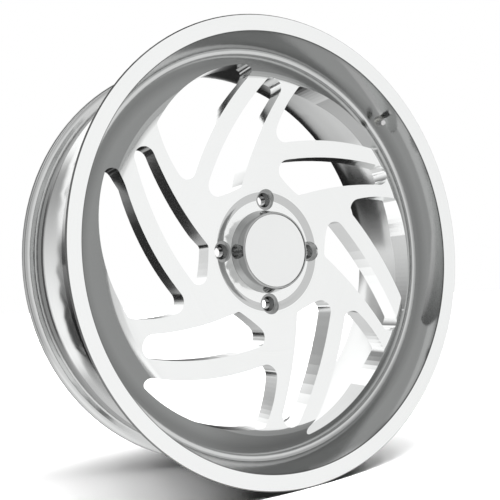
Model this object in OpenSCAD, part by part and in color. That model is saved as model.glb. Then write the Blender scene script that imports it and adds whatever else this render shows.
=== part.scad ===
// Two-piece forged wheel: a deep polished rim, a directional spoked centre, a plug-in
// centre cap and a short clamp-in valve. The wheel turns about Y and its outboard face
// looks towards -Y. The origin is the centre of the hub mounting face.

/* [Rim] */
// Radius over the flanges
rim_r = 324.5; // [323:0.5:328]
// Half of the width over both flanges
half_w = 104.5; // [104:0.5:107]
// Radius of the bead seats beside the flanges
bead_r = 307.2; // [306.8:0.1:308]
// Radius at the inner edge of the polished lip face
lip_in_r = 303.7; // [303:0.1:304]
// How far the inner edge of the lip face sits behind its front
lip_set = 7.5; // [5:0.5:9]
// Radius of the drop-centre well
well_r = 296.5; // [296:0.5:298]
// Inside radius of the barrel behind the centre
barrel_r = 292; // [290:0.5:292]

/* [Centre disc] */
// Outer radius of the centre where it sits in the rim
disc_r = 298; // [297.5:0.1:298.5]
// Radius of the crest between the spoke face and the outer slope
crest_r = 250.9; // [249:0.1:253]
// Distance of the crest ahead of the mounting face
crest_y = 61.8; // [61:0.1:63]
// Rounding of the crest
crest_round = 16; // [10:1:20]
// Thickness of a spoke at its outer end
spoke_t = 27; // [24:1:30]
// Radius of the rim of the hub recess
recess_r = 88.9; // [86:0.1:91]
// Distance of the recess floor ahead of the mounting face
floor_y = 21; // [20:0.5:22]

/* [Windows] */
// Rounding of the two wide corners of a long window
long_corner = 15.3; // [12:0.1:15.4]
// Rounding of the inner corner of a short window
short_corner = 16; // [12:0.5:18]
// Rounding of the tight corners of both windows
tight_corner = 8; // [6:0.5:9]

/* [Hub fixing] */
// Pitch circle diameter of the lug holes
pcd = 156; // [156:0.5:157]
// Radius of the clearance hole for a wheel stud
stud_hole_r = 7.25; // [6.5:0.05:7.5]
// Radius of the hub pilot bore
pilot_r = 65.5; // [65:0.1:66]
// Depth of the hub pilot bore
pilot_depth = 12; // [11:0.5:12.5]
// Radius of the mounting pad
pad_r = 100; // [99:0.5:101]

/* [Cap] */
// Radius of the cap at its base
cap_base_r = 62.3; // [61:0.1:63]
// Radius of the cap at its front edge
cap_top_r = 57; // [56.5:0.1:58]
// Height of the cap above the recess floor
cap_h = 23.6; // [22:0.1:28]
// Radius of the bore that holds the cap
cap_bore_r = 56; // [55.5:0.1:56.5]

/* [Valve] */
// Angle of the valve around the wheel, from +X towards +Z
valve_angle = 45.5; // [44:0.5:47]
// Bend of the valve from the rim wall towards the front of the wheel
valve_bend = 80; // [60:1:85]

/* [Hidden] */

// Gap between pieces fixed to each other, and reach of a cut past a surface
gap = 0.05;
past = 2;
big_fn = 180;
mid_fn = 96;
small_fn = 48;

// Rim section
tip_round = 1.5;
flange_roll = 9.5;
tip_y = half_w - tip_round;
bead_y = tip_y - flange_roll;
seat_root = 3;
seat_w = 20;
seat_in_r = bead_r - seat_w * tan(5);
hump_r = seat_in_r + 2;
hump_w = 7;
hump_flank = 2.5;
groove_y = 66.5;
ramp_y = 22;
well_front_y = 4;
well_rear_y = 27;
lip_edge_round = 1.5;
rear_lip_r = 303.5;
flare_r = 299.5;
flare_y = 93.3;
barrel_mid_r = 295.3;
barrel_mid_y = 70.6;
barrel_end_y = 20;

// Centre section
root_y = 32.7;
back_y = 21;
recess_y = floor_y + 4.3;
recess_in_r = 76.7;
spoke_out_r = 248;
ring_in_r = 262;
relief = 1;
relief_out_r = 121;
windows = 6;
window_reach = 256.4;

// Welds
weld_r = 6;
rear_weld_r = 5;

// Lug seats
lugs = 4;
seat_head_r = 15.6;
seat_body_r = 10.5;
seat_front_y = 18;
seat_step_y = 14.5;
seat_back_y = 0.5;
seat_cone_r = 11.2;
seat_cone_h = (seat_cone_r - stud_hole_r) / tan(30);

// Cap, with its heights counted forward from the mounting face
cap_base = floor_y + 0.3;
cap_front = floor_y + cap_h;
cap_bevel = 0.9;
plate_r = 53.5;
plate_t = 2.4;
plate_sink = 0.5;
plate_groove = 1.1;
cap_web = 2.4;
cap_wall = 3;
cap_in_r = 51.5;
cap_end = 12.6;
spigot_r = cap_bore_r - 0.35;
o_ring_y = 18.6;
o_ring_r = 1.25;
snap_y = 14.7;
snap_r = 0.9;
ring_reach = cap_bore_r - gap;
detent = 0.8;
plate_back = cap_front - plate_sink - plate_t;
web_back = plate_back - gap - cap_web;
screws = 3;
screw_pcr = 38;
screw_r = 1.2;
screw_head_r = 2.3;
screw_head_t = 1.6;
screw_bite = 1.7;

// Valve foot, drawn along +Z with its origin in the middle of the rim wall
valve_hole_r = 5.65;
valve_pos_r = 303.1;
valve_pos_y = 59;
spot = 1.9;
spot_out_r = 7.4;
spot_in_r = 7.7;
spot_reach = 8;
grommet_t = 1.4;
head_t = 2.2;
head_r = 6.8;
shank_r = 4;
washer_t = 1;
nut_t = 3.8;
nut_af = 12;
nut_seat = spot + gap + washer_t + gap;
bend_start = nut_seat + nut_t + 0.6;
bend_r = 5.5;
bend_tube_r = 3.4;
air_r = 1.2;

// Valve tip, drawn along +Z from the end of the bend
tip_r = 3.85;
tip_l = 12.8;
core_r = 2.5;
core_start = 4.6;
core_end = 12;
core_bore_r = 1.25;
core_throat_r = 0.7;
core_throat_y = 6.4;
core_throat_t = 0.7;
seal_y = 8;
seal_t = 1.6;
seal_depth = 0.45;
pin_r = 0.45;
pin_head_r = 1.05;
pin_head_t = 0.5;
pin_end = 12.2;
pin_foot_t = 0.9;
pin_foot = core_start - gap - pin_foot_t;
pin_foot_r = 1.9;
core_room = 1.5;
spring_r = 0.85;
spring_wire = 0.13;
spring_turns = 6;
valve_cap_r = 4.8;
valve_cap_start = 3;
valve_cap_end = 14.6;
valve_cap_roof = 1.1;
valve_cap_play = 0.1;
cap_flutes = 14;
flute_r = 0.7;
gasket_t = 0.5;

function unit(v) = v / norm(v);

// Points along an arc about [cx, cy]
function arc(cx, cy, r, from, to, n) =
    [for (i = [0:n]) let (a = from + (to - from) * i / n) [cx + r * cos(a), cy + r * sin(a)]];

// Arc that rounds the corner b between its neighbours a and c
function fillet(a, b, c, r, n) =
    let (u = unit(a - b),
        v = unit(c - b),
        half = acos(u * v) / 2,
        m = b + unit(u + v) * r / sin(half),
        p = b + u * r / tan(half) - m,
        q = b + v * r / tan(half) - m,
        from = atan2(p[1], p[0]),
        turn = atan2(q[1], q[0]) - from,
        short = turn > 180 ? turn - 360 : turn < -180 ? turn + 360 : turn)
    arc(m[0], m[1], r, from, from + short, n);

// Swaps a section between the outboard and the inboard half of the wheel
function inboard(points) =
    [for (i = [len(points) - 1:-1:0]) [points[i][0], -points[i][1]]];

// Corners of the section that the welds and the edge roundings start from
recess_rim = [recess_r, -recess_y];
crest = [crest_r, -crest_y];
root = [disc_r, -root_y];
lip_edge = [lip_in_r, -half_w + lip_set];
lip_front = [rim_r - tip_round, -half_w];

// Tyre side of the outboard half: flange roll, bead seat and safety hump
function bead_section() = concat(
    arc(rim_r - flange_roll, -tip_y, flange_roll, 0, 90, 8),
    arc(bead_r + seat_root, -bead_y + seat_root, seat_root, 270, 180, 4),
    [[seat_in_r, -groove_y - hump_w],
        [hump_r, -groove_y - hump_w + hump_flank],
        [hump_r, -groove_y - hump_flank],
        [seat_in_r, -groove_y]]);

// Turns a section of [radius, height] points about +Z
module spun(points, facets = small_fn)
    rotate_extrude($fn = facets)
    polygon(points);

// Turns a section of [radius, y] points about the wheel's axis
module turned(points, facets = big_fn)
    rotate([-90, 0, 0])
    spun(points, facets);

// Repeats its children at a lug hole
module at_lug(i)
    rotate([0, -i * 360 / lugs, 0])
    translate([pcd / 2, 0, 0])
    children();

// Places the foot of the valve, whose own +Z points from the rim wall to the axis
module at_valve()
    rotate([0, -valve_angle, 0])
    translate([valve_pos_r, -valve_pos_y, 0])
    rotate([90, 0, -90])
    children();

// Places the tip of the valve behind its bend
module at_tip()
    at_valve()
    translate([bend_r * (1 - cos(valve_bend)), 0, bend_start + bend_r * sin(valve_bend)])
    rotate([0, valve_bend, 0])
    children();

// Circle of the window plans, seen from the front of the wheel
module plan(x, z, r)
    translate([x, z])
    circle(r = r, $fn = big_fn);

module rounded(r)
    offset(r = r, $fn = small_fn)
    offset(delta = -r)
    children();

module long_plan()
    difference() {
        intersection() {
            plan(116, -303.9, 450.3);
            plan(191.1, 293.9, 246.4);
            plan(0, 0, window_reach);
        }
        plan(196.5, -364.5, 471.3);
    }

module short_plan()
    difference() {
        intersection() {
            plan(48, 24.3, 222.6);
            plan(184.3, 129, 182.5);
        }
        plan(110.3, -243.9, 415.8);
    }

// Long window with two wide corners and a tight one
module long_window() {
    rounded(long_corner)
        long_plan();
    intersection() {
        rounded(tight_corner)
            long_plan();
        plan(62, 87, 26);
    }
}

// Short window with a wide inner corner and two tight outer ones
module short_window() {
    rounded(short_corner)
        short_plan();
    difference() {
        rounded(tight_corner)
            short_plan();
        plan(15, 178, 45);
    }
}

// Straight cut through the centre disc with a plan seen from the front
module through_disc()
    translate([0, past, 0])
    rotate([90, 0, 0])
    linear_extrude(crest_y + 2 * past)
    children();

module rim_barrel()
    color([0.86, 0.88, 0.88])
    difference() {
        turned(concat(
            fillet(root, lip_edge, lip_front, lip_edge_round, 4),
            [lip_front],
            bead_section(),
            [[seat_in_r, -ramp_y],
                [well_r, -well_front_y],
                [well_r, well_rear_y]],
            inboard(bead_section()),
            [[rim_r - tip_round, half_w],
                [rear_lip_r, half_w],
                [flare_r, flare_y],
                [barrel_mid_r, barrel_mid_y],
                [barrel_r, barrel_end_y],
                [barrel_r, -back_y + gap],
                [disc_r + gap, -back_y + gap],
                [disc_r + gap, -root_y]]));
        at_valve() {
            cylinder(h = 4 * spot_reach, r = valve_hole_r, center = true, $fn = small_fn);
            translate([0, 0, spot])
                cylinder(h = spot_reach, r = spot_in_r, $fn = small_fn);
            translate([0, 0, -spot - spot_reach])
                cylinder(h = spot_reach, r = spot_out_r, $fn = small_fn);
        }
    }

module centre_disc()
    color([0.82, 0.84, 0.84])
    difference() {
        turned(concat(
            [[cap_bore_r, -floor_y],
                [recess_in_r, -floor_y],
                recess_rim],
            fillet(recess_rim, crest, root, crest_round, 8),
            [root,
                [disc_r, -back_y],
                [ring_in_r, -back_y],
                [spoke_out_r, -crest_y + spoke_t],
                [relief_out_r, -relief],
                [pad_r + relief, -relief],
                [pad_r, 0],
                [pilot_r, 0],
                [pilot_r, -pilot_depth],
                [cap_bore_r, -pilot_depth],
                [cap_bore_r, -snap_y + snap_r],
                [cap_bore_r + detent, -snap_y],
                [cap_bore_r, -snap_y - snap_r]]));
        for (i = [0:windows - 1])
            rotate([0, i * 360 / windows, 0])
            through_disc() {
                long_window();
                short_window();
            }
        for (i = [0:lugs - 1])
            at_lug(i)
            turned([[0, past],
                [seat_body_r, past],
                [seat_body_r, -seat_step_y],
                [seat_head_r, -seat_step_y],
                [seat_head_r, -floor_y - 4 * past],
                [0, -floor_y - 4 * past]], mid_fn);
    }

module front_weld_fillet() {
    steps = 12;
    points = fillet(lip_edge, root, crest, weld_r, steps);
    color([0.92, 0.93, 0.93])
        turned(concat(
            [root + unit(unit(lip_edge - root) + unit(crest - root)) * 2 * gap],
            [for (i = [1:steps - 1]) points[i]]));
}

module rear_weld_bead() {
    steps = 8;
    corner = [barrel_r, -back_y];
    points = fillet(corner + [0, 1], corner, corner - [1, 0], rear_weld_r, steps);
    color([0.6, 0.62, 0.63])
        turned(concat(
            [corner + [-gap, gap]],
            [for (i = [1:steps - 1]) points[i]]));
}

module lug_seat(i)
    color([0.62, 0.63, 0.64])
    at_lug(i)
    turned([[stud_hole_r, -seat_back_y],
        [seat_body_r - gap, -seat_back_y],
        [seat_body_r - gap, -seat_step_y - gap],
        [seat_head_r - gap, -seat_step_y - gap],
        [seat_head_r - gap, -seat_front_y],
        [seat_cone_r, -seat_front_y],
        [stud_hole_r, -seat_front_y + seat_cone_h]], mid_fn);

// Holes or posts of the cap screws
module cap_posts(r, from, to)
    for (i = [0:screws - 1])
        rotate([0, 90 + i * 360 / screws, 0])
        translate([screw_pcr, 0, 0])
        turned([[0, -from], [r, -from], [r, -to], [0, -to]], small_fn);

module cap_shell()
    color([0.84, 0.85, 0.86])
    difference() {
        turned([[cap_base_r, -cap_base],
            [cap_top_r, -cap_front + cap_bevel],
            [cap_top_r - cap_bevel, -cap_front],
            [plate_r + plate_groove, -cap_front],
            [plate_r + plate_groove, -plate_back + gap],
            [0, -plate_back + gap],
            [0, -web_back],
            [plate_r, -web_back],
            [cap_base_r - cap_wall - 1, -cap_base - cap_wall],
            [cap_in_r, -cap_base - cap_wall],
            [cap_in_r, -cap_end],
            [spigot_r - 1, -cap_end],
            [spigot_r, -snap_y + snap_r + gap],
            [ring_reach - 2 * snap_r - gap, -snap_y + snap_r + gap],
            [ring_reach - 2 * snap_r - gap, -snap_y - snap_r - gap],
            [spigot_r, -snap_y - snap_r - gap],
            [spigot_r, -o_ring_y + o_ring_r + gap],
            [ring_reach - 2 * o_ring_r - gap, -o_ring_y + o_ring_r + gap],
            [ring_reach - 2 * o_ring_r - gap, -o_ring_y - o_ring_r - gap],
            [spigot_r, -o_ring_y - o_ring_r - gap],
            [spigot_r, -cap_base]]);
        cap_posts(screw_r + 0.2, web_back - past, plate_back + past);
    }

module cap_face_plate()
    color([0.93, 0.94, 0.94])
    difference() {
        turned([[0, -plate_back],
            [plate_r, -plate_back],
            [plate_r, -plate_back - plate_t + 0.4],
            [plate_r - 0.4, -plate_back - plate_t],
            [0, -plate_back - plate_t]]);
        cap_posts(screw_r + gap, plate_back - past, plate_back + screw_bite + gap);
    }

module cap_o_ring()
    color([0.08, 0.08, 0.08])
    translate([0, -o_ring_y, 0])
    rotate([90, 0, 0])
    rotate_extrude($fn = big_fn)
    translate([ring_reach - o_ring_r, 0])
    circle(r = o_ring_r, $fn = 24);

// Spring ring with a gap for the pliers
module cap_snap_ring()
    color([0.7, 0.71, 0.72])
    translate([0, -snap_y, 0])
    rotate([90, 0, 0])
    rotate([0, 0, 97])
    rotate_extrude(angle = 346, $fn = big_fn)
    translate([ring_reach - snap_r, 0])
    circle(r = snap_r, $fn = 24);

module cap_screws()
    color([0.45, 0.45, 0.46]) {
        cap_posts(screw_r, web_back - gap, plate_back + screw_bite);
        cap_posts(screw_head_r, web_back - gap - screw_head_t, web_back - gap);
    }

// Bent tube of the valve
module bend(r)
    translate([bend_r, 0, bend_start])
    rotate([90, 0, 0])
    rotate([0, 0, 180 - valve_bend])
    rotate_extrude(angle = valve_bend, $fn = mid_fn)
    translate([bend_r, 0])
    circle(r = r, $fn = small_fn);

module valve_stem() {
    head_top = -spot - gap - grommet_t - gap;
    overlap = 0.5;
    color([0.78, 0.77, 0.72])
        difference() {
            union() {
                at_valve() {
                    spun([[0, head_top - head_t],
                        [head_r - 1, head_top - head_t],
                        [head_r, head_top - head_t + 1],
                        [head_r, head_top],
                        [shank_r, head_top],
                        [shank_r, bend_start + overlap],
                        [0, bend_start + overlap]]);
                    bend(bend_tube_r);
                }
                at_tip()
                    spun([[0, -overlap],
                        [tip_r, -overlap],
                        [tip_r, tip_l - 0.5],
                        [tip_r - 0.5, tip_l],
                        [0, tip_l]]);
            }
            at_valve() {
                translate([0, 0, head_top - head_t - past])
                    cylinder(h = bend_start - head_top + head_t + past, r = air_r + 0.2, $fn = small_fn);
                bend(air_r);
            }
            at_tip()
                spun([[0, -overlap],
                    [air_r + 0.2, -overlap],
                    [air_r + 0.2, core_room - 1],
                    [core_r + gap, core_room],
                    [core_r + gap, tip_l + past],
                    [0, tip_l + past]]);
        }
}

module valve_grommet()
    color([0.06, 0.06, 0.06])
    at_valve()
    spun([[shank_r + gap, -spot - gap - grommet_t],
        [head_r, -spot - gap - grommet_t],
        [head_r, -spot - gap],
        [valve_hole_r - gap, -spot - gap],
        [valve_hole_r - gap, spot],
        [shank_r + gap, spot]]);

module valve_washer()
    color([0.75, 0.75, 0.75])
    at_valve()
    spun([[shank_r + gap, spot + gap],
        [spot_out_r, spot + gap],
        [spot_out_r, spot + gap + washer_t],
        [shank_r + gap, spot + gap + washer_t]]);

module valve_nut() {
    corner_r = nut_af / 2 / cos(30);
    color([0.78, 0.77, 0.72])
        at_valve()
        difference() {
            intersection() {
                translate([0, 0, nut_seat])
                    cylinder(h = nut_t, r = corner_r, $fn = 6);
                spun([[0, nut_seat - past],
                    [corner_r + 0.1, nut_seat - past],
                    [corner_r + 0.1, nut_seat + nut_t - 0.6],
                    [nut_af / 2 - 0.2, nut_seat + nut_t + gap],
                    [0, nut_seat + nut_t + gap]]);
            }
            translate([0, 0, nut_seat - past])
                cylinder(h = nut_t + 2 * past, r = shank_r + gap, $fn = small_fn);
        }
}

module valve_core_body()
    color([0.8, 0.68, 0.35])
    at_tip()
    spun([[core_bore_r, core_start],
        [core_r - 0.4, core_start],
        [core_r, core_start + 0.8],
        [core_r, seal_y],
        [core_r - seal_depth, seal_y],
        [core_r - seal_depth, seal_y + seal_t],
        [core_r, seal_y + seal_t],
        [core_r, core_end],
        [core_bore_r, core_end],
        [core_bore_r, core_throat_y + core_throat_t],
        [core_throat_r, core_throat_y + core_throat_t],
        [core_throat_r, core_throat_y],
        [core_bore_r, core_throat_y]]);

module valve_core_seal()
    color([0.75, 0.1, 0.08])
    at_tip()
    spun([[core_r - seal_depth + gap / 2, seal_y + gap],
        [core_r, seal_y + gap],
        [core_r, seal_y + seal_t - gap],
        [core_r - seal_depth + gap / 2, seal_y + seal_t - gap]]);

module valve_core_pin()
    color([0.8, 0.8, 0.8])
    at_tip()
    spun([[0, pin_foot],
        [pin_foot_r, pin_foot],
        [pin_foot_r, pin_foot + pin_foot_t],
        [pin_r, pin_foot + pin_foot_t],
        [pin_r, pin_end - pin_head_t],
        [pin_head_r, pin_end - pin_head_t],
        [pin_head_r, pin_end],
        [0, pin_end]]);

// Coil spring between the throat of the core body and the head of the pin
module valve_core_spring() {
    from = core_throat_y + core_throat_t + gap + spring_wire;
    to = pin_end - pin_head_t - gap - spring_wire;
    color([0.7, 0.7, 0.7])
        at_tip() {
            for (z = [from, to])
                translate([0, 0, z])
                rotate_extrude($fn = small_fn)
                translate([spring_r, 0])
                circle(r = spring_wire, $fn = 16);
            translate([0, 0, from])
                linear_extrude(to - from, twist = -360 * spring_turns, slices = 18 * spring_turns)
                translate([spring_r, 0])
                circle(r = spring_wire, $fn = 8);
        }
}

module valve_cap()
    color([0.8, 0.8, 0.78])
    at_tip()
    difference() {
        spun([[tip_r + valve_cap_play, valve_cap_start],
            [valve_cap_r, valve_cap_start],
            [valve_cap_r, valve_cap_end - 1],
            [valve_cap_r - 1, valve_cap_end],
            [0, valve_cap_end],
            [0, valve_cap_end - valve_cap_roof],
            [tip_r + valve_cap_play, valve_cap_end - valve_cap_roof]]);
        for (i = [0:cap_flutes - 1])
            rotate([0, 0, i * 360 / cap_flutes])
            translate([valve_cap_r + flute_r * 0.6, 0, valve_cap_start + 1])
            cylinder(h = valve_cap_end, r = flute_r, $fn = 24);
    }

module valve_cap_gasket()
    color([0.1, 0.1, 0.1])
    at_tip()
    spun([[1.4, valve_cap_end - valve_cap_roof - gap - gasket_t],
        [tip_r, valve_cap_end - valve_cap_roof - gap - gasket_t],
        [tip_r, valve_cap_end - valve_cap_roof - gap],
        [1.4, valve_cap_end - valve_cap_roof - gap]]);

rim_barrel();
centre_disc();
front_weld_fillet();
rear_weld_bead();
lug_seat(0);  // lug_seat_1
lug_seat(1);  // lug_seat_2
lug_seat(2);  // lug_seat_3
lug_seat(3);  // lug_seat_4
cap_shell();
cap_face_plate();
cap_o_ring();
cap_snap_ring();
cap_screws();
valve_stem();
valve_grommet();
valve_washer();
valve_nut();
valve_core_body();
valve_core_pin();
valve_core_spring();
valve_core_seal();
valve_cap();
valve_cap_gasket();
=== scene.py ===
import math

import bpy
import numpy as np
from mathutils import Matrix, Vector


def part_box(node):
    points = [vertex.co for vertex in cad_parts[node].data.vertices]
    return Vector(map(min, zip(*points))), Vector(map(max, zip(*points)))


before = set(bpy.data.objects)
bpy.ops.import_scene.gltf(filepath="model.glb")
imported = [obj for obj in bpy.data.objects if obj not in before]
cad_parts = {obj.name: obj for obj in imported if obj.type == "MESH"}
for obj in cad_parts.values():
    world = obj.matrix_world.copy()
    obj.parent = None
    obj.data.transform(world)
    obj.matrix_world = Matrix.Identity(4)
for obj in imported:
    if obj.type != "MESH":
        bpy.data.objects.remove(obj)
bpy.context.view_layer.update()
FLOOR_GAP = 0.0005
FLOOR_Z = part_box("rim_barrel")[0].z - FLOOR_GAP

LENS_MM = 43.67
CAMERA_AT = (-0.516, -0.766, -0.0568)
CAMERA_FORWARD = (0.5449, 0.8359, 0.0663)
CAMERA_UP = (0, -0.0791, 0.9969)

# Grey levels of the studio, by direction in degrees from +X towards +Y
WALLS = {-180: 0.05, -165: 0.75, -150: 0.58, -135: 0.67, -112: 0.92, -90: 0.92, -60: 0.94,
         -25: 0.96, 0: 0.84, 30: 0.9, 118: 0.8, 135: 0.72, 150: 0.95, 165: 0.55, 179: 0.4}
GROUND = {-180: 0.97, -150: 1.16, -100: 1.02, -70: 0.84, -40: 0.94, -10: 0.86, 40: 0.56,
          90: 0.5, 150: 0.94, 179: 0.84}
CEILING = {-180: 0.02, -150: 0.88, -120: 0.48, -90: 0.65, -60: 0.66, -15: 0.53, 40: 0.03,
           100: 0.37, 150: 0.8, 179: 1.13}
# How far the studio behind the wheel and beside it takes over from these, by the same direction
BACK_SHARE = {-180: 0, 20: 0, 45: 1, 113: 1, 119: 0, 179: 0}
SIDE_SHARE = {-180: 0, 113: 0, 119: 1, 140: 1, 160: 0, 179: 0}
# Levels by height, where -1 is straight down and 1 straight up
BACK = {-1: 0.9, -0.6: 0.62, -0.42: 0.3, -0.36: 0.01, -0.06: 0.02, 0.03: 0.1, 0.1: 0.2,
        0.2: 1.1, 0.3: 1.1, 0.68: 1.25, 0.8: 0.35, 0.99: 0.04}
SIDE = {-1: 1.1, -0.34: 1.1, -0.1: 0.95, 0.1: 0.75, 0.35: 0.42, 0.6: 0.2, 0.99: 0.2}
# How far the ground and ceiling take over from the walls, by height
CAP_SHARE = {-1: 1, -0.65: 1, -0.45: 0, 0.42: 0, 0.6: 0.7, 0.8: 1, 0.99: 1}


# ---------------------------------------------------------------- shading of turned shapes

def loop_arrays(mesh):
    """Vertex places, and for each triangle its corners, normal and area."""
    co = np.empty(len(mesh.vertices) * 3)
    mesh.vertices.foreach_get("co", co)
    co = co.reshape(-1, 3)
    corners = np.empty(len(mesh.loops), int)
    mesh.loops.foreach_get("vertex_index", corners)
    corners = corners.reshape(-1, 3)
    a, b, c = co[corners[:, 0]], co[corners[:, 1]], co[corners[:, 2]]
    cross = np.cross(b - a, c - a)
    area = np.linalg.norm(cross, axis=1)
    normal = cross / np.maximum(area, 1e-15)[:, None]
    return co, corners, normal, area


def in_wheel_axes(vectors, places):
    """Splits vectors into their radial, turning and axial parts about the wheel's axis."""
    r = np.maximum(np.hypot(places[:, 0], places[:, 2]), 1e-9)
    c, s = places[:, 0] / r, places[:, 2] / r
    radial = vectors[:, 0] * c + vectors[:, 2] * s
    turning = -vectors[:, 0] * s + vectors[:, 2] * c
    return radial, turning, vectors[:, 1]


def welded_ids(co):
    """One number per distinct place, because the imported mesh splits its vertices."""
    keys = np.round(co * 1e6).astype(np.int64)
    _, ids = np.unique(keys, axis=0, return_inverse=True)
    return ids.reshape(-1)


def smooth_turned(mesh, sharp_deg=22):
    """Exact normals on surfaces turned about the wheel's axis, smooth ones elsewhere."""
    most_turning = 0.035
    co, corners, normal, area = loop_arrays(mesh)
    centre = co[corners].mean(axis=1)
    radial, turning, axial = in_wheel_axes(normal, centre)
    turned = np.abs(turning) < most_turning
    ids = welded_ids(co)[corners]
    limit = math.cos(math.radians(sharp_deg))
    faces_at = {}
    for f, trio in enumerate(ids):
        for v in trio:
            faces_at.setdefault(v, []).append(f)
    out = np.empty((len(corners), 3, 3))
    for f in range(len(corners)):
        for k in range(3):
            near = np.array(faces_at[ids[f, k]])
            near = near[turned[near] == turned[f]]
            if turned[f]:
                x, z = co[corners[f, k], 0], co[corners[f, k], 2]
                r = max(math.hypot(x, z), 1e-9)
                same = radial[near] * radial[f] + axial[near] * axial[f] > limit
                near = near[same]
                w = area[near]
                nr, ny = (radial[near] * w).sum(), (axial[near] * w).sum()
                n = (nr * x / r, ny, nr * z / r)
            else:
                same = normal[near] @ normal[f] > limit
                near = near[same]
                n = (normal[near] * area[near][:, None]).sum(axis=0)
            out[f, k] = n
    length = np.linalg.norm(out, axis=2, keepdims=True)
    flat = np.repeat(normal[:, None, :], 3, axis=1)
    out = np.where(length > 1e-12, out / np.maximum(length, 1e-15), flat)
    mesh.shade_smooth()
    mesh.normals_split_custom_set(out.reshape(-1, 3))
    mesh.update()


# ---------------------------------------------------------------- camera, floor and light

def add_camera():
    """Camera at the photograph's viewing angle, found by fitting the wheel's ellipses."""
    camera = bpy.data.cameras.new("camera")
    camera.lens = LENS_MM
    camera.sensor_width = 36
    camera.clip_end = 50
    obj = bpy.data.objects.new("camera", camera)
    forward = Vector(CAMERA_FORWARD).normalized()
    right = forward.cross(Vector(CAMERA_UP)).normalized()
    up = right.cross(forward)
    turn = Matrix((right, up, -forward)).transposed().to_4x4()
    obj.matrix_world = Matrix.Translation(CAMERA_AT) @ turn
    bpy.context.scene.collection.objects.link(obj)
    bpy.context.scene.camera = obj


def add_overhead():
    """Long soft strip of light across the wheel, left out of what the metal mirrors."""
    widest, step, lamp_angle = 52, 13, 18
    strength, towards_front = 1.1, 0.36
    for tilt in range(-widest, widest + 1, step):
        light = bpy.data.lights.new("overhead", "SUN")
        light.energy = strength
        light.angle = math.radians(lamp_angle)
        obj = bpy.data.objects.new("overhead", light)
        side, up = math.sin(math.radians(tilt)), math.cos(math.radians(tilt))
        to_lamp = Vector((side, -towards_front * up, up))
        obj.rotation_euler = to_lamp.to_track_quat("Z", "Y").to_euler()
        obj.visible_glossy = False
        bpy.context.scene.collection.objects.link(obj)


def ramp_node(tree, stops, fac, low, high):
    """Colour ramp of grey levels over the range low to high, from {place: level}."""
    node = tree.nodes.new("ShaderNodeValToRGB")
    ramp = node.color_ramp
    for place, level in stops.items():
        stop = ramp.elements.new(min(max((place - low) / (high - low), 0.0001), 0.9999))
        stop.color = (level, level, level, 1)
    ramp.elements.remove(ramp.elements[0])
    ramp.elements.remove(ramp.elements[-1])
    share = math_node(tree, "MULTIPLY_ADD", fac, 1 / (high - low), -low / (high - low))
    tree.links.new(share, node.inputs["Fac"])
    return node.outputs["Color"]


def math_node(tree, operation, *values):
    """A math node's result, from numbers or sockets."""
    node = tree.nodes.new("ShaderNodeMath")
    node.operation = operation
    for socket, value in zip(node.inputs, values):
        if isinstance(value, (int, float)):
            socket.default_value = value
        else:
            tree.links.new(value, socket)
    return node.outputs[0]


def mix_node(tree, fac, a, b):
    """Colour a where fac is 0, and b where it is 1."""
    node = tree.nodes.new("ShaderNodeMix")
    node.data_type = "RGBA"
    for socket, value in ((node.inputs[0], fac), (node.inputs[6], a), (node.inputs[7], b)):
        if isinstance(value, (int, float)):
            socket.default_value = value
        elif isinstance(value, tuple):
            socket.default_value = (*value, 1)
        else:
            tree.links.new(value, socket)
    return node.outputs[2]


def add_world():
    """Studio that metal mirrors, by direction; the camera sees white, and matt surfaces black."""
    world = bpy.data.worlds.new("studio")
    bpy.context.scene.world = world
    world.use_nodes = True
    tree = world.node_tree
    place = tree.nodes.new("ShaderNodeTexCoord").outputs["Generated"]
    split = tree.nodes.new("ShaderNodeSeparateXYZ")
    tree.links.new(place, split.inputs[0])
    x, y, z = split.outputs
    turn = math_node(tree, "MULTIPLY", math_node(tree, "ARCTAN2", y, x), 180 / math.pi)
    walls, ground, ceiling, back_share, side_share = (
        ramp_node(tree, stops, turn, -180, 180)
        for stops in (WALLS, GROUND, CEILING, BACK_SHARE, SIDE_SHARE))
    back, side, cap_share = (ramp_node(tree, stops, z, -1, 1) for stops in (BACK, SIDE, CAP_SHARE))
    above = math_node(tree, "GREATER_THAN", z, 0)
    caps = mix_node(tree, above, ground, ceiling)
    shade = mix_node(tree, cap_share, walls, caps)
    shade = mix_node(tree, back_share, shade, back)
    shade = mix_node(tree, side_share, shade, side)
    path = tree.nodes.new("ShaderNodeLightPath")
    after_matt = math_node(tree, "MINIMUM", path.outputs["Diffuse Depth"], 1)
    shade = mix_node(tree, after_matt, shade, (0.01, 0.01, 0.01))
    shade = mix_node(tree, path.outputs["Is Camera Ray"], shade, (1, 1, 1))
    tree.links.new(shade, tree.nodes["Background"].inputs["Color"])


def flat_sheet(name, corners, level):
    """A four-cornered sheet of the studio with a matt grey surface."""
    mesh = bpy.data.meshes.new(name)
    mesh.from_pydata(corners, [], [(0, 1, 2, 3)])
    sheet = bpy.data.objects.new(name, mesh)
    bpy.context.scene.collection.objects.link(sheet)
    material, tree, bsdf, place = new_material(name)
    bsdf.inputs["Base Color"].default_value = (level, level, level, 1)
    bsdf.inputs["Roughness"].default_value = 0.8
    mesh.materials.append(material)
    return sheet, tree, bsdf, place


def add_floor():
    """Pale floor far wider than the view, left out of what the metal mirrors."""
    half = 12
    corners = [(x * half, y * half, FLOOR_Z) for x, y in ((-1, -1), (1, -1), (1, 1), (-1, 1))]
    floor = flat_sheet("floor", corners, 0.9)[0]
    floor.visible_glossy = False


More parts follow.
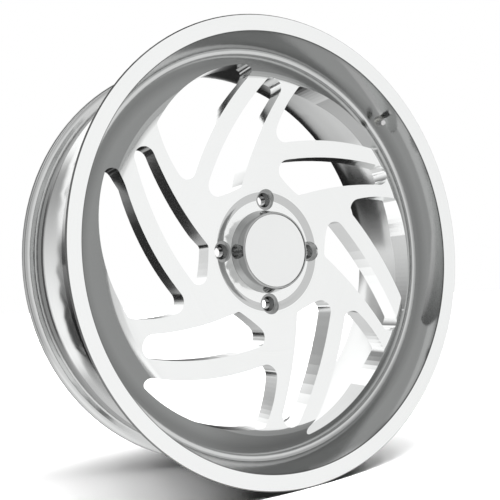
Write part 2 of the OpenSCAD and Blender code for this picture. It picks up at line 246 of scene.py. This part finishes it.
def add_black_card():
    """Dark card behind the wheel, seen only where the inside of the rim mirrors it."""
    left, right, low, high, y = -1.12, -0.25, -0.8, 0.02, 1.5
    dark_to = -0.35
    corners = [(left, y, low), (right, y, low), (right, y, high), (left, y, high)]
    card, tree, bsdf, place = flat_sheet("black_card", corners, 0)
    split = tree.nodes.new("ShaderNodeSeparateXYZ")
    tree.links.new(place, split.inputs[0])
    glow = ramp_node(tree, {low: 0.02, dark_to: 0.03, high: 0.35}, split.outputs[2], low, high)
    tree.links.new(glow, bsdf.inputs["Emission Color"])
    bsdf.inputs["Emission Strength"].default_value = 1
    bsdf.inputs["Specular IOR Level"].default_value = 0
    card.visible_camera = False
    card.visible_diffuse = False
    card.visible_shadow = False


def new_material(name):
    """A fresh principled material: its tree, its shader and the object's own coordinates."""
    material = bpy.data.materials.new(name)
    material.use_nodes = True
    tree = material.node_tree
    place = tree.nodes.new("ShaderNodeTexCoord").outputs["Object"]
    return material, tree, tree.nodes["Principled BSDF"], place


def wheel_coords(tree, place):
    """Radius about the wheel's axis and place along it, in metres."""
    split = tree.nodes.new("ShaderNodeSeparateXYZ")
    tree.links.new(place, split.inputs[0])
    x, y, z = split.outputs
    square = math_node(tree, "MULTIPLY", x, x)
    r = math_node(tree, "SQRT", math_node(tree, "MULTIPLY_ADD", z, z, square))
    return r, y


def ring_noise(tree, r, y, scale, detail=3):
    """Noise that runs round the wheel as turning marks do."""
    join = tree.nodes.new("ShaderNodeCombineXYZ")
    tree.links.new(r, join.inputs[0])
    tree.links.new(y, join.inputs[1])
    noise = tree.nodes.new("ShaderNodeTexNoise")
    noise.inputs["Scale"].default_value = scale
    noise.inputs["Detail"].default_value = detail
    tree.links.new(join.outputs[0], noise.inputs["Vector"])
    return noise.outputs["Fac"]


def grain(tree, place, scale, detail=3):
    """Noise that is the same in every direction."""
    noise = tree.nodes.new("ShaderNodeTexNoise")
    noise.inputs["Scale"].default_value = scale
    noise.inputs["Detail"].default_value = detail
    tree.links.new(place, noise.inputs["Vector"])
    return noise.outputs["Fac"]


def fitted(tree, fac, low, high):
    """Stretches a 0 to 1 value to the range low to high."""
    return math_node(tree, "MULTIPLY_ADD", fac, high - low, low)


def bump(tree, bsdf, height, distance):
    """Raises the surface by a 0 to 1 height times a distance in metres."""
    node = tree.nodes.new("ShaderNodeBump")
    node.inputs["Distance"].default_value = distance
    node.inputs["Strength"].default_value = 1.0
    tree.links.new(height, node.inputs["Height"])
    tree.links.new(node.outputs[0], bsdf.inputs["Normal"])


def grey(tree, level, tint=(1.0, 1.01, 1.005)):
    """Near-neutral colour from a level."""
    join = tree.nodes.new("ShaderNodeCombineColor")
    for socket, share in zip(join.inputs, tint):
        tree.links.new(math_node(tree, "MULTIPLY", level, share), socket)
    return join.outputs[0]


def step_up(tree, value, start, end):
    """0 below start, 1 above end, smooth between."""
    node = tree.nodes.new("ShaderNodeMapRange")
    node.interpolation_type = "SMOOTHSTEP"
    node.inputs["From Min"].default_value = start
    node.inputs["From Max"].default_value = end
    tree.links.new(value, node.inputs["Value"])
    return node.outputs[0]


def ring_share(tree, r, y, low, high):
    """1 inside the box low to high of [radius, y], 0 outside, with narrow soft edges."""
    soft = 0.0002
    share = 1
    for value, start, end in ((r, low[0], high[0]), (y, low[1], high[1])):
        share = math_node(tree, "MULTIPLY", share, step_up(tree, value, start - soft, start + soft))
        below = math_node(tree, "SUBTRACT", 1, step_up(tree, value, end - soft, end + soft))
        share = math_node(tree, "MULTIPLY", share, below)
    return share


def turned_metal(name, level, rough, zones=(), scale=900.0, depth=0.000001):
    """Turned and polished aluminium with fine rings, its roughness set by zone and its level set by
    zone as painted shade and reflection.
    """
    material, tree, bsdf, place = new_material(name)
    r, y = wheel_coords(tree, place)
    marks = ring_noise(tree, r, y, scale)
    haze = grain(tree, place, 14.0)
    tone = level
    gloss = rough
    for low, high, shade, zone_rough in zones:
        shade = shade(tree, y) if callable(shade) else shade
        share = ring_share(tree, r, y, low, high)
        step = math_node(tree, "SUBTRACT", shade, tone)
        tone = math_node(tree, "MULTIPLY_ADD", share, step, tone)
        step = math_node(tree, "SUBTRACT", zone_rough, gloss)
        gloss = math_node(tree, "MULTIPLY_ADD", share, step, gloss)
    tone = math_node(tree, "MULTIPLY", tone, fitted(tree, marks, 0.97, 1.03))
    tone = math_node(tree, "MULTIPLY", tone, fitted(tree, haze, 0.985, 1.015))
    tree.links.new(grey(tree, tone), bsdf.inputs["Base Color"])
    gloss = math_node(tree, "MULTIPLY", gloss, fitted(tree, haze, 0.8, 1.2))
    tree.links.new(gloss, bsdf.inputs["Roughness"])
    bsdf.inputs["Metallic"].default_value = 1
    bump(tree, bsdf, marks, depth)
    return material


def metal(name, colour, rough, scale=1500.0, depth=0.000004):
    """Small steel, nickel or brass parts with a fine machined grain."""
    material, tree, bsdf, place = new_material(name)
    fine = grain(tree, place, scale)
    tone = mix_node(tree, fine, tuple(0.9 * c for c in colour), colour)
    tree.links.new(tone, bsdf.inputs["Base Color"])
    tree.links.new(fitted(tree, fine, rough * 0.7, rough * 1.3), bsdf.inputs["Roughness"])
    bsdf.inputs["Metallic"].default_value = 1
    bump(tree, bsdf, fine, depth)
    return material


def rubber(name, colour, rough, scale=2500.0, depth=0.00001):
    """Moulded rubber with a fine matt grain."""
    material, tree, bsdf, place = new_material(name)
    fine = grain(tree, place, scale)
    tone = mix_node(tree, fine, tuple(0.7 * c for c in colour), tuple(1.3 * c for c in colour))
    tree.links.new(tone, bsdf.inputs["Base Color"])
    tree.links.new(fitted(tree, fine, rough * 0.85, rough), bsdf.inputs["Roughness"])
    bump(tree, bsdf, fine, depth)
    return material


def weld_bead(name, level, rough, radius=0.29, pitch=0.004, depth=0.00025):
    """Weld laid round the wheel, with the ripples of its passes."""
    material, tree, bsdf, place = new_material(name)
    split = tree.nodes.new("ShaderNodeSeparateXYZ")
    tree.links.new(place, split.inputs[0])
    x, y, z = split.outputs
    turn = math_node(tree, "ARCTAN2", z, x)
    wander = grain(tree, place, 60.0)
    shift = math_node(tree, "MULTIPLY", wander, 3)
    phase = math_node(tree, "MULTIPLY_ADD", turn, 2 * math.pi * radius / pitch, shift)
    ripple = fitted(tree, math_node(tree, "SINE", phase), 0.5, 1)
    tone = fitted(tree, ripple, level * 0.8, level)
    tree.links.new(grey(tree, tone), bsdf.inputs["Base Color"])
    tree.links.new(fitted(tree, wander, rough * 0.8, rough * 1.2), bsdf.inputs["Roughness"])
    bsdf.inputs["Metallic"].default_value = 1
    bump(tree, bsdf, ripple, depth)
    return material


def lip_wall_painted_shade(tree, y):
    """Painted shade on the wall behind the lip, darkest next to the weld."""
    stops = {-0.097: 0.34, -0.09: 0.44, -0.066: 0.46, -0.05: 0.34, -0.033: 0.42}
    return ramp_node(tree, stops, y, -0.1, 0)


def outer_wall_painted_reflection(tree, y):
    """Painted reflection on the outside of the rim: dark drop centre and bead grooves, bright slope
    between.
    """
    stops = {-0.095: 0.5, 0: 0.45, 0.008: 0.15, 0.024: 0.2, 0.031: 0.85, 0.06: 0.9, 0.065: 0.5,
             0.071: 0.25, 0.077: 0.25, 0.083: 0.34, 0.089: 0.22, 0.094: 0.72, 0.098: 0.6,
             0.101: 0.3, 0.104: 0.2}
    return ramp_node(tree, stops, y, -0.11, 0.11)


def rim_zones():
    """Zones of the rim: (least r and y), (most r and y), level of painted shade and reflection,
    roughness.
    """
    wall_r, edge_r, past_r, back = 0.3038, 0.3045, 0.33, 0.11
    # Painted shade: a dark line at the lip's inner edge and a dark outline at the flange's outer
    # edge.
    lip_edge_painted_shade = ((0.303, -0.0975), (edge_r, -0.0958), 0.14, 0.2)
    flange_edge_painted_shade = ((0.3228, -0.11), (past_r, -0.1005), 0.2, 0.2)
    return [((0, -0.0968), (wall_r, -0.0327), lip_wall_painted_shade, 0.12),
            # Inside of the barrel behind the disc, a little darker: painted shade.
            ((0, -0.021), (edge_r, back), 0.84, 0.16),
            ((edge_r, -0.096), (past_r, back), outer_wall_painted_reflection, 0.12),
            lip_edge_painted_shade,
            flange_edge_painted_shade]


def disc_zones():
    """Zones of the centre disc: the outer slope, greyed as a painted reflection, and the bevel
    around the hub recess, darkened as painted shade.
    """
    outer_slope_painted_reflection = ((0.262, -0.07), (0.3, -0.0212), 0.61, 0.12)
    recess_bevel_painted_shade = ((0.0775, -0.026), (0.0892, -0.0212), 0.6, 0.12)
    return [outer_slope_painted_reflection, recess_bevel_painted_shade]


def looks():
    """The material of each slot of the part."""
    return {
        "rim": turned_metal("rim_polish_painted_shade", 0.93, 0.12, rim_zones()),
        "disc": turned_metal("disc_polish_painted_shade", 0.93, 0.12, disc_zones()),
        "weld": turned_metal("weld_blend", 0.66, 0.16),
        "rear_weld": weld_bead("weld_ripples", 0.7, 0.3),
        "lug_seat": turned_metal("seat_steel", 0.34, 0.14),
        # The cap's body is given a dark level, 0.44: painted shade.
        "cap_body": turned_metal("cap_polish_painted_shade", 0.44, 0.1),
        "cap_plate": turned_metal("plate_polish", 0.88, 0.14),
        "black_rubber": rubber("black_rubber", (0.018, 0.018, 0.019), 0.6),
        "spring_steel": metal("spring_steel", (0.55, 0.55, 0.56), 0.25),
        "screw_steel": metal("screw_oxide", (0.14, 0.14, 0.15), 0.4),
        "valve_nickel": metal("valve_nickel", (0.75, 0.75, 0.72), 0.18),
        "washer_steel": metal("washer_steel", (0.6, 0.6, 0.6), 0.3),
        "core_brass": metal("core_brass", (0.75, 0.56, 0.28), 0.22),
        "pin_steel": metal("pin_steel", (0.65, 0.65, 0.66), 0.2),
        "red_seal": rubber("red_seal", (0.45, 0.03, 0.02), 0.5),
        "valve_cap_metal": metal("valve_cap_metal", (0.7, 0.7, 0.7), 0.2),
    }


def main():
    look = looks()
    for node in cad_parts.values():
        for i, slot in enumerate(node.data.materials):
            node.data.materials[i] = look[slot.name]
    for name in ("rim_barrel", "centre_disc", "front_weld_fillet", "rear_weld_bead",
                 "cap_shell", "cap_face_plate"):
        smooth_turned(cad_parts[name].data)
    add_camera()
    add_world()
    add_floor()
    add_black_card()
    add_overhead()
    bpy.context.scene.view_settings.view_transform = "Standard"


main()
